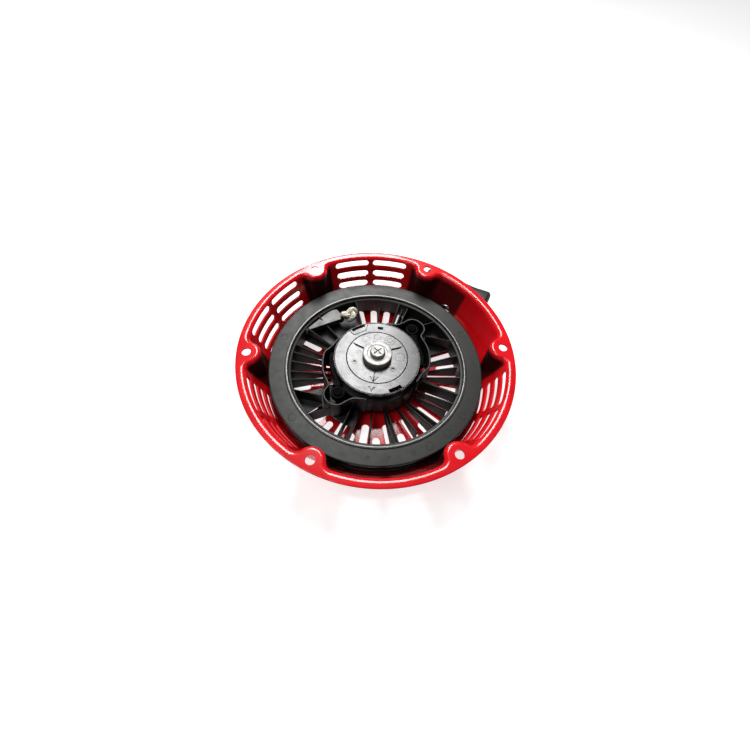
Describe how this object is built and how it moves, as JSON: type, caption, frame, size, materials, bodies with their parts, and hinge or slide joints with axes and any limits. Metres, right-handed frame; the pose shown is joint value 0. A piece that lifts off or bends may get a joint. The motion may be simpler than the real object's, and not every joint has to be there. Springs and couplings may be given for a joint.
{
  "type": "recoil starter",
  "caption": "Pull-rope recoil starter for a small engine: drawn steel case with air slots, sprung rope reel, ratchet hub with pawls, rope and grip.",
  "frame": {"origin": "centre of the bolt circle, in the plane of the flange face that seats on the engine", "axes": "+Z out of the open side, towards the engine; +X through one bolt hole; the rope leaves towards +X +Y"},
  "size_m": [0.2594, 0.254, 0.0516],
  "materials": {
    "case_paint": "deep-drawn steel in glossy bright red enamel",
    "eyelet_steel": "rolled steel eyelet",
    "post_steel": "turned steel, zinc plated",
    "collar_steel": "dark plated steel collar",
    "screw_steel": "zinc plated cross-head screw",
    "reel_plastic": "black moulded nylon, satin",
    "bushing_bronze": "sintered bronze",
    "spring_steel": "blue-tempered spring strip, oiled",
    "keeper_steel": "thin stamped steel",
    "rope_fibre": "braided off-white polyester starter rope",
    "pin_steel": "ground steel pin",
    "wire_steel": "spring wire",
    "washer_steel": "zinc plated",
    "guide_plastic": "black moulded nylon, glossy",
    "plate_plastic": "black moulded nylon, glossy",
    "pawl_steel": "sintered steel",
    "grip_plastic": "black moulded grip"
  },
  "bodies": {
    "housing": {"starter_case": "case_paint", "rope_eyelet": "eyelet_steel", "centre_post": "post_steel", "friction_collar": "collar_steel", "centre_screw": "screw_steel", "rope_run": "rope_fibre"},
    "reel": {"rope_reel": "reel_plastic", "reel_bushing": "bushing_bronze", "recoil_spring": "spring_steel", "spring_keeper": "keeper_steel", "rope_winding": "rope_fibre", "rope_knot": "rope_fibre", "pawl_pin_a": "pin_steel", "pawl_pin_b": "pin_steel", "pawl_spring_a": "wire_steel", "pawl_spring_b": "wire_steel", "thrust_washer": "washer_steel"},
    "guide": {"ratchet_guide": "guide_plastic", "friction_plate": "plate_plastic", "friction_spring": "wire_steel"},
    "pawl_a": {"pawl_a": "pawl_steel"},
    "pawl_b": {"pawl_b": "pawl_steel"},
    "handle": {"grip": "grip_plastic", "grip_insert": "washer_steel", "grip_knot": "rope_fibre"}
  },
  "joints": [
    {"name": "reel_spin", "type": "hinge", "parent": "housing", "child": "reel", "pos_m": [0, 0, 0], "axis": [0, 0, 1], "range_deg": [0, 1080], "stiffness_Nm_per_rad": 0.04, "springref_deg": -343.77},
    {"name": "guide_turn", "type": "hinge", "parent": "reel", "child": "guide", "pos_m": [0, 0, 0], "axis": [0, 0, 1], "range_deg": [-24, 0]},
    {"name": "pawl_a_swing", "type": "hinge", "parent": "reel", "child": "pawl_a", "pos_m": [0.0373, 0.03478, -0.018], "axis": [0, 0, 1], "range_deg": [0, 6]},
    {"name": "pawl_b_swing", "type": "hinge", "parent": "reel", "child": "pawl_b", "pos_m": [-0.0373, -0.03478, -0.018], "axis": [0, 0, 1], "range_deg": [0, 6]},
    {"name": "handle_pull", "type": "slide", "parent": "housing", "child": "handle", "axis": [0.515, 0.8572, 0], "range_m": [0, 1.74], "deforming": ["rope_run"]}
  ],
  "couplings": [
    {"joint": "handle_pull", "follows": "reel_spin", "m_per_rad": 0.092},
    {"joint": "pawl_a_swing", "follows": "guide_turn", "ratio": -0.25},
    {"joint": "pawl_b_swing", "follows": "guide_turn", "ratio": -0.25}
  ]
}
